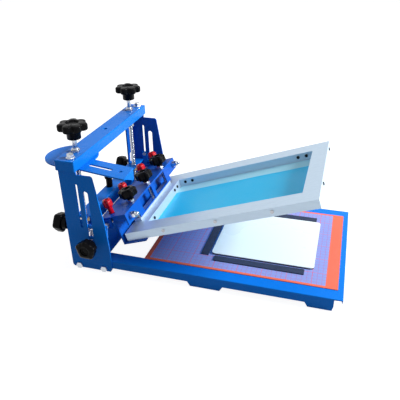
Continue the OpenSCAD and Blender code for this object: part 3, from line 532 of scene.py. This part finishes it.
def turned(a, b, radius, edge=0.0004, sides=32):
    """A plain round bar between two points, with eased ends, as a mesh."""
    length = (b - a).length
    frame_of = upright_to(a, b)
    bm = bmesh.new()
    rows = []
    for r, z in ((radius - edge, 0), (radius, edge), (radius, length - edge), (radius - edge, length)):
        rows.append([bm.verts.new(frame_of @ Vector((r * math.cos(2 * math.pi * k / sides),
                                                     r * math.sin(2 * math.pi * k / sides), z)))
                     for k in range(sides)])
    for low_row, high_row in zip(rows, rows[1:]):
        for k in range(sides):
            bm.faces.new((low_row[k], low_row[(k + 1) % sides], high_row[(k + 1) % sides], high_row[k]))
    bm.faces.new(list(reversed(rows[0])))
    bm.faces.new(rows[-1])
    mesh = bpy.data.meshes.new("bar")
    bm.to_mesh(mesh)
    bm.free()
    return mesh


def threaded(a, b, radius, pitch, finish):
    """A threaded length between two points, as a mesh."""
    carrier = bpy.data.objects.new("rod", bpy.data.meshes.new("rod"))
    mesh = grown(thread, finish, carrier, Length=(b - a).length, Radius=radius, Pitch=pitch, Depth=pitch * 0.34)
    mesh.transform(upright_to(a, b))
    return mesh


def joined(name, meshes):
    """One mesh made of several."""
    bm = bmesh.new()
    for mesh in meshes:
        bm.from_mesh(mesh)
    whole = bpy.data.meshes.new(name)
    bm.to_mesh(whole)
    bm.free()
    finish_faces(whole, 45)
    return whole


screw_r, screw_pitch, shoulder_r, shoulder_t = 0.005, 0.0015, 0.007, 0.003
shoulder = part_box("screw_bushes")[1].z + 0.0001
for side in ("front", "rear"):
    low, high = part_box("height_screw_" + side)
    x, y = (low.x + high.x) / 2, (low.y + high.y) / 2
    piece("height_screw_%s_piece" % side, joined("height_screw", [
        threaded(Vector((x, y, low.z)), Vector((x, y, shoulder - 0.004)), screw_r, screw_pitch, zinc),
        turned(Vector((x, y, shoulder)), Vector((x, y, shoulder + shoulder_t)), shoulder_r),
        turned(Vector((x, y, shoulder - 0.0045)), Vector((x, y, high.z)), screw_r)]), zinc, "height_screw_" + side)
    eased("screw_collar_" + side, steel)


def lobed(d, angle, lobes, full):
    """Distance of a star knob's outline from its axis at an angle: round lobes on a round body
    that is full of the width d, with the hollow where they meet softened."""
    part = 2 * math.pi / lobes
    off = (angle + part / 2) % part - part / 2
    body, reach, small = full * d, 0.36 * d, 0.14 * d
    lean = reach * math.sin(off)
    tip = reach * math.cos(off) + math.sqrt(max(small ** 2 - lean ** 2, 0)) if abs(lean) < small else 0
    blend = 0.018 * d
    if tip <= 0:
        return body
    return max(body, tip) + blend * math.exp(-abs(tip - body) / blend) * 0.35


def star_knob(node, finish, at, axis, d, disc, hub, hub_h, lobes, start=0.0, hollow=0.42, full=0.39):
    """A moulded star knob: a hub, a lobed grip with rounded rims and a shallow dish with a cap.
    A ring is its size, its height, and 1 where it follows the star and its size is a share."""
    count = lobes * 14
    axis = Vector(axis).normalized()
    frame_of = Vector((0, 0, 1)).rotation_difference(axis).to_matrix() if axis.z > -0.999 else \
        Matrix.Rotation(math.pi, 3, "X")
    top = hub_h + disc
    r = disc * 0.22
    rings = [(hub / 2 - 0.0008, 0.0, 0), (hub / 2, 0.0008, 0), (hub / 2, hub_h - 0.001, 0),
             (hub / 2 + 0.0008, hub_h + disc * 0.02, 0),
             (0.62, hub_h + disc * 0.06, 1), (0.90, hub_h + disc * 0.07, 1)]
    for i in range(5):
        a = math.radians(-70 + i * 17.5)
        rings.append((1 - (r / d) * 1.6 * (1 - math.cos(a)), hub_h + disc * 0.06 + r + r * math.sin(a), 1))
    for i in range(6):
        a = math.radians(i * 15)
        rings.append((1 - (r / d) * 2.4 * (1 - math.cos(a)), top - disc * 0.06 - r + r * math.sin(a), 1))
    rings += [(0.80, top - disc * 0.035, 1), (0.66, top - disc * 0.01, 1), (hollow * d / 2 + 0.0012, top, 0),
              (hollow * d / 2 + 0.0003, top - 0.0004, 0), (hollow * d / 2, top - disc * 0.16, 0),
              (hollow * d / 2 - 0.001, top - disc * 0.2, 0), (hollow * d / 2 - 0.003, top - disc * 0.19, 0),
              (hollow * d * 0.22, top - disc * 0.17, 0)]
    bm = bmesh.new()
    rows = []
    for size, z, star in rings:
        row = []
        for k in range(count):
            a = 2 * math.pi * k / count + start
            radius = lobed(d, a - start, lobes, full) * size if star else size
            spot = Vector((radius * math.cos(a), radius * math.sin(a), z))
            row.append(bm.verts.new(Vector(at) + frame_of @ spot))
        rows.append(row)
    for a, b in zip(rows, rows[1:]):
        for k in range(count):
            bm.faces.new((a[k], a[(k + 1) % count], b[(k + 1) % count], b[k]))
    bm.faces.new(list(reversed(rows[0])))
    bm.faces.new(rows[-1])
    bmesh.ops.recalc_face_normals(bm, faces=bm.faces)
    mesh = bpy.data.meshes.new(node + "_piece")
    bm.to_mesh(mesh)
    bm.free()
    finish_faces(mesh, 50)
    return piece(node + "_piece", mesh, finish, node)


black = surface("black_moulding", (0.0035, 0.0035, 0.0045), 0.20, shade=0.3, patch=40, grain=0.006,
                grain_scale=900, Specular_IOR_Level=0.06)
for side in ("front", "rear"):
    low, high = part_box("height_knob_" + side)
    star_knob("height_knob_" + side, black, ((low.x + high.x) / 2, (low.y + high.y) / 2, low.z), (0, 0, 1),
              d=0.060, disc=0.016, hub=0.028, hub_h=0.017, lobes=7, start=0.22)

# ---------------------------------------------------------------- carriage
# A bent sheet between the uprights, with a cheek at each end. Two nuts under its top flange
# climb the height screws and pins slide in the thin slots.
eased("carriage_frame", blue)
brass = surface("machined_brass", (0.70, 0.52, 0.24), 0.30, metal=1.0, shade=0.12, patch=90, grain=0.004,
                grain_scale=1500)
eased("lead_nuts", brass, 0.0005)
eased("guide_pins", steel)
eased("lock_spacers", zinc)
low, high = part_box("side_knob_front")
stud_x, stud_z = (low.x + high.x) / 2, (low.z + high.z) / 2
low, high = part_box("back_knob_front")
back_y, back_z = (low.y + high.y) / 2, (low.z + high.z) / 2
low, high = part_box("lock_studs")
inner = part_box("carriage_frame")[0]
sheet_t, head_r, head_t, gap = 0.003, 0.0075, 0.005, 0.0001
parts = []
for s in (-1, 1):
    cheek = s * (inner.y + sheet_t)
    tip, root = Vector((stud_x, s * low.y, stud_z)), Vector((stud_x, cheek, stud_z))
    parts += [threaded(tip, root, screw_r, screw_pitch, zinc),
              turned(Vector((stud_x, cheek + gap * -s, stud_z)),
                     Vector((stud_x, cheek - head_t * -s, stud_z)), head_r)]
    tip, root = Vector((low.x, s * back_y, back_z)), Vector((inner.x + sheet_t, s * back_y, back_z))
    parts += [threaded(tip, root, screw_r, screw_pitch, zinc),
              turned(root + Vector((gap, 0, 0)), root + Vector((head_t, 0, 0)), head_r)]
piece("lock_studs_piece", joined("lock_studs", parts), zinc, "lock_studs")

# ---------------------------------------------------------------- lock knobs
# Black moulded knobs on the studs: one outside each upright, two behind the tower, and a small
# round one on the carriage flange.
lock_knob = dict(d=0.044, disc=0.020, hub=0.026, hub_h=0.008, lobes=5, full=0.44)
for side, way, foot_y in (("front", -1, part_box("side_knob_front")[1].y), ("rear", 1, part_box("side_knob_rear")[0].y)):
    star_knob("side_knob_" + side, black, (stud_x, foot_y, stud_z), (0, way, 0), start=0.3, **lock_knob)
for side, y in (("front", back_y), ("rear", -back_y)):
    foot_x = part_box("back_knob_" + side)[1].x
    star_knob("back_knob_" + side, black, (foot_x, y, back_z), (-1, 0, 0), start=0.9, **lock_knob)
eased("centre_knob", black, 0.0015)

# ---------------------------------------------------------------- lift springs
# Two wound tension springs behind the cheeks that carry part of the head's weight, between
# pins on the carriage and pins on the head.
spring_steel = surface("spring_wire", (0.74, 0.75, 0.77), 0.22, metal=1.0, shade=0.15, patch=200, grain=0.002,
                       grain_scale=2500)
for node in ("hinge_shaft", "spring_pins"):
    eased(node, steel)


def wire_tree():
    """Round wire that follows a curve."""
    tree, inputs, outputs = new_tree("wire", ("Radius",))
    ring = tree.nodes.new("GeometryNodeCurvePrimitiveCircle")
    ring.inputs["Resolution"].default_value = 10
    tree.links.new(inputs.outputs["Radius"], ring.inputs["Radius"])
    drawn = tree.nodes.new("GeometryNodeCurveToMesh")
    drawn.inputs["Fill Caps"].default_value = True
    tree.links.new(inputs.outputs["Geometry"], drawn.inputs["Curve"])
    tree.links.new(ring.outputs[0], drawn.inputs["Profile Curve"])
    close_tree(tree, inputs, outputs, drawn.outputs[0])
    return tree


wire = wire_tree()
turns, coil_r, wire_r, loop_r, loop_gap, a_turn = 11, 0.0050, 0.00075, 0.0029, 0.0022, 20
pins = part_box("spring_pins")
foot = (pins[0].z + pins[1].z) / 2
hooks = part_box("spring_hooks")
top = (hooks[0].z + hooks[1].z) / 2
begin, end = foot + loop_r + loop_gap, top - loop_r - loop_gap
for side in ("front", "rear"):
    low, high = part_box("lift_spring_" + side)
    middle_x, middle_y = (low.x + high.x) / 2, (low.y + high.y) / 2
    path = [(loop_r * math.sin(a), 0, foot + loop_r * math.cos(a)) for a in
            (math.radians(20 + 17 * i) for i in range(20))]
    path += [(coil_r * 0.45, 0, begin - 0.0010)]
    path += [(coil_r * math.cos(2 * math.pi * i / a_turn), coil_r * math.sin(2 * math.pi * i / a_turn),
              begin + (end - begin) * i / (a_turn * turns)) for i in range(a_turn * turns + 1)]
    path += [(coil_r * 0.45, 0, end + 0.0010)]
    path += [(loop_r * math.sin(a), 0, top - loop_r * math.cos(a)) for a in
             (math.radians(343 - 17 * i) for i in range(20))]
    line = bpy.data.curves.new("spring", "CURVE")
    line.dimensions = "3D"
    spline = line.splines.new("POLY")
    spline.points.add(len(path) - 1)
    for point, at in zip(spline.points, path):
        point.co = (middle_x + at[0], middle_y + at[1], at[2], 1)
    mesh = grown(wire, spring_steel, bpy.data.objects.new("spring", line), Radius=wire_r)
    finish_faces(mesh, 80)
    mesh.materials.clear()
    mesh.materials.append(spring_steel)
    coil = bpy.data.objects.new("lift_spring_%s_piece" % side, mesh)
    bpy.context.scene.collection.objects.link(coil)
    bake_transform(coil)
    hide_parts("lift_spring_" + side)

# ---------------------------------------------------------------- head
# A plate that turns on the hinge shaft, with cheeks at its ends, tabs for two threaded rods and
# four studs with red moulded knobs that clamp the channel on it.
# The swing plate takes the darker blue of painted shade.
eased("swing_plate", painted_shade_blue)
eased("spring_hooks", steel)
tilt = math.radians(19.53)
along = Vector((math.cos(tilt), 0, math.sin(tilt)))
square = Vector((-math.sin(tilt), 0, math.cos(tilt)))
pivot = Vector(next(j for j in frame["joints"] if j["name"] == "head_swing")["pos_m"])
pivot_a, pivot_c = -0.022, 0.033


def in_head(a, b, c):
    """A point a along the head, b across it and c square to it, in the row's coordinates."""
    return pivot + along * (a - pivot_a) + Vector((0, b, 0)) + square * (c - pivot_c)


low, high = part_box("adjust_rods")
rod_b, rod_c, rod_r, rod_pitch = 0.130, ((low + high) / 2 - pivot).dot(square) + pivot_c, 0.004, 0.00125
piece("adjust_rods_piece", joined("adjust_rods", [
    threaded(in_head(-0.0144, b, rod_c), in_head(0.045, b, rod_c), rod_r, rod_pitch, zinc)
    for b in (-rod_b, rod_b)]), zinc, "adjust_rods")
red_a, red_rows, red_seat = -0.017, (-0.128, -0.052, 0.052, 0.128), 0.0463
piece("red_studs_piece", joined("red_studs", [
    threaded(in_head(red_a, b, 0.0396), in_head(red_a, b, 0.0656), 0.003, 0.001, zinc)
    for b in red_rows]), zinc, "red_studs")
red = surface("red_moulding", (0.620, 0.004, 0.014), 0.24, shade=0.2, patch=60, grain=0.004, grain_scale=900,
              Specular_IOR_Level=0.25)
for i, b in enumerate(red_rows):
    star_knob("red_knob_%d" % (i + 1), red, in_head(red_a, b, red_seat), square,
              d=0.021, disc=0.018, hub=0.011, hub_h=0.0147, lobes=6, start=0.2, full=0.43)

# ---------------------------------------------------------------- clamp channel
# A channel bent from sheet that grips the screen: top plate, web, lower lip, and a face with two
# windows and an ear at each end, where nuts hold it on the threaded rods.
# The channel takes the darker blue of painted shade.
eased("clamp_channel", painted_shade_blue)
for node in ("adjust_nuts", "clamp_nuts"):
    eased(node, zinc, 0.0006)
aluminium = surface("satin_aluminium", (0.56, 0.69, 0.82), 0.45, metal=0.6, shade=0.08, patch=30, grain=0.002,
                    grain_scale=500, stretch=(0.15, 6, 6), Specular_IOR_Level=0.3)
eased("pressure_bar", aluminium, 0.0006)
clamp_a, clamp_seat, tip_r = 0.013, 0.0530, 0.0025
for i, b in enumerate((-0.088, 0.0, 0.088)):
    piece("clamp_screw_%d_piece" % (i + 1), joined("clamp_screw", [
        threaded(in_head(clamp_a, b, 0.0081), in_head(clamp_a, b, 0.0665), rod_r, rod_pitch, zinc),
        turned(in_head(clamp_a, b, 0.0035), in_head(clamp_a, b, 0.0085), tip_r)]),
          zinc, "clamp_screw_%d" % (i + 1))
    star_knob("clamp_knob_%d" % (i + 1), black, in_head(clamp_a, b, clamp_seat), square,
              d=0.040, disc=0.020, hub=0.016, hub_h=0.0055, lobes=6, start=0.4, full=0.43)

# ---------------------------------------------------------------- screen
# Four hollow aluminium bars mitred at the corners, with a blue coated mesh stretched and glued
# under them, and socket screws in the walls, bright in the near bar and black in the others, a painted shade for
# the dark holes they sit in.
for node in ("screen_bar_near", "screen_bar_far", "screen_bar_left", "screen_bar_right"):
    eased(node, aluminium, 0.0006)
film = surface("coated_mesh", (0.010, 0.590, 1.000), 0.35, shade=0.10, patch=8, grain=0.002, grain_scale=2500,
               Specular_IOR_Level=0.2)
tree = film.node_tree
link = tree.links.new
split = add(tree, "ShaderNodeSeparateXYZ")
link(first(tree, "TEX_COORD").outputs["Object"], split.inputs[0])
waver = add(tree, "ShaderNodeTexNoise")
waver.inputs["Scale"].default_value = 12
link(first(tree, "TEX_COORD").outputs["Object"], waver.inputs["Vector"])
shift = add(tree, "ShaderNodeMath", operation="MULTIPLY_ADD", in_1=0.006)
link(waver.outputs["Fac"], shift.inputs[0])
link(split.outputs[1], shift.inputs[2])
coat_ends, margin_starts = 0.068, 0.071
bare = add(tree, "ShaderNodeMapRange")
bare.inputs["From Min"].default_value, bare.inputs["From Max"].default_value = coat_ends, margin_starts
link(shift.outputs[0], bare.inputs["Value"])
margin = add(tree, "ShaderNodeMix", data_type="RGBA")
margin.inputs[7].default_value = (0.40, 0.78, 0.93, 1)
shader = first(tree, "BSDF_PRINCIPLED")
link(bare.outputs["Result"], margin.inputs[0])
link(shader.inputs["Base Color"].links[0].from_socket, margin.inputs[6])
link(margin.outputs[2], shader.inputs["Base Color"])
eased("screen_mesh", film, 0)
# The frame screw heads are black as painted shade, except the near bar's, which get steel below.
painted_shade_black = surface("screw_black_painted_shade", (0.010, 0.010, 0.012), 0.35, metal=0.6, shade=0.3, patch=200, grain=0.003,
                grain_scale=2000)


def cap_screw_tree():
    """Round screw heads with a socket, one on each point, turned to the point's own direction."""
    tree, inputs, outputs = new_tree("cap_screws", ("Radius", "Height"))
    link = tree.links.new
    rim = add(tree, "ShaderNodeMath", operation="MULTIPLY", in_1=0.78)
    link(inputs.outputs["Radius"], rim.inputs[0])
    thick = add(tree, "ShaderNodeMath", operation="MULTIPLY", in_1=0.44)
    link(inputs.outputs["Radius"], thick.inputs[0])
    circle = tree.nodes.new("GeometryNodeCurvePrimitiveCircle")
    circle.inputs["Resolution"].default_value = 24
    link(rim.outputs[0], circle.inputs["Radius"])
    section = tree.nodes.new("GeometryNodeCurvePrimitiveQuadrilateral")
    link(thick.outputs[0], section.inputs["Width"])
    link(inputs.outputs["Height"], section.inputs["Height"])
    ring = tree.nodes.new("GeometryNodeCurveToMesh")
    link(circle.outputs[0], ring.inputs["Curve"])
    link(section.outputs[0], ring.inputs["Profile Curve"])
    seat = tree.nodes.new("GeometryNodeMeshCylinder")
    seat.inputs["Vertices"].default_value = 6
    link(rim.outputs[0], seat.inputs["Radius"])
    low_part = add(tree, "ShaderNodeMath", operation="MULTIPLY", in_1=0.4)
    link(inputs.outputs["Height"], low_part.inputs[0])
    link(low_part.outputs[0], seat.inputs["Depth"])
    head = tree.nodes.new("GeometryNodeJoinGeometry")
    link(ring.outputs[0], head.inputs[0])
    link(seat.outputs["Mesh"], head.inputs[0])
    facing = add(tree, "GeometryNodeInputNamedAttribute", data_type="FLOAT_VECTOR")
    facing.inputs["Name"].default_value = "facing"
    turn_to = add(tree, "FunctionNodeAlignRotationToVector", axis="Z")
    link(facing.outputs["Attribute"], turn_to.inputs["Vector"])
    placed = tree.nodes.new("GeometryNodeInstanceOnPoints")
    link(inputs.outputs["Geometry"], placed.inputs["Points"])
    link(head.outputs[0], placed.inputs["Instance"])
    link(turn_to.outputs[0], placed.inputs["Rotation"])
    close_tree(tree, inputs, outputs, placed.outputs[0])
    return tree


near_wall, far_wall, left_wall, end_wall, screw_c = -0.142, 0.102, 0.040, 0.408, -0.008
side = Vector((0, 1, 0))
spots = [(in_head(a, near_wall, screw_c), -side) for a in (0.0895, 0.2048, 0.3193)]
spots += [(in_head(a, far_wall, screw_c), -side) for a in (0.0556, 0.0748, 0.3397, 0.3583)]
spots += [(in_head(left_wall, b, screw_c), along) for b in (-0.073, 0.0616, 0.0806)]
spots += [(in_head(end_wall, b, screw_c), along) for b in (-0.062, 0.112)]
carrier = bpy.data.meshes.new("spots")
carrier.from_pydata([p + n * 0.0008 for p, n in spots], [], [])
facing = carrier.attributes.new("facing", "FLOAT_VECTOR", "POINT")
for value, (p, n) in zip(facing.data, spots):
    value.vector = n
heads = grown(cap_screw_tree(), painted_shade_black, bpy.data.objects.new("spots", carrier), Radius=0.0035, Height=0.0014)
shanks = [turned(p - n * 0.004, p + n * 0.0006, 0.002) for p, n in spots]
screws = piece("frame_screws_piece", joined("frame_screws", [heads] + shanks), painted_shade_black, "frame_screws")
# The near bar's heads get steel; the rest keep the painted shade black.
screws.data.materials.append(steel)
for face in screws.data.polygons:
    if face.center.y < near_wall + 0.001:
        face.material_index = 1
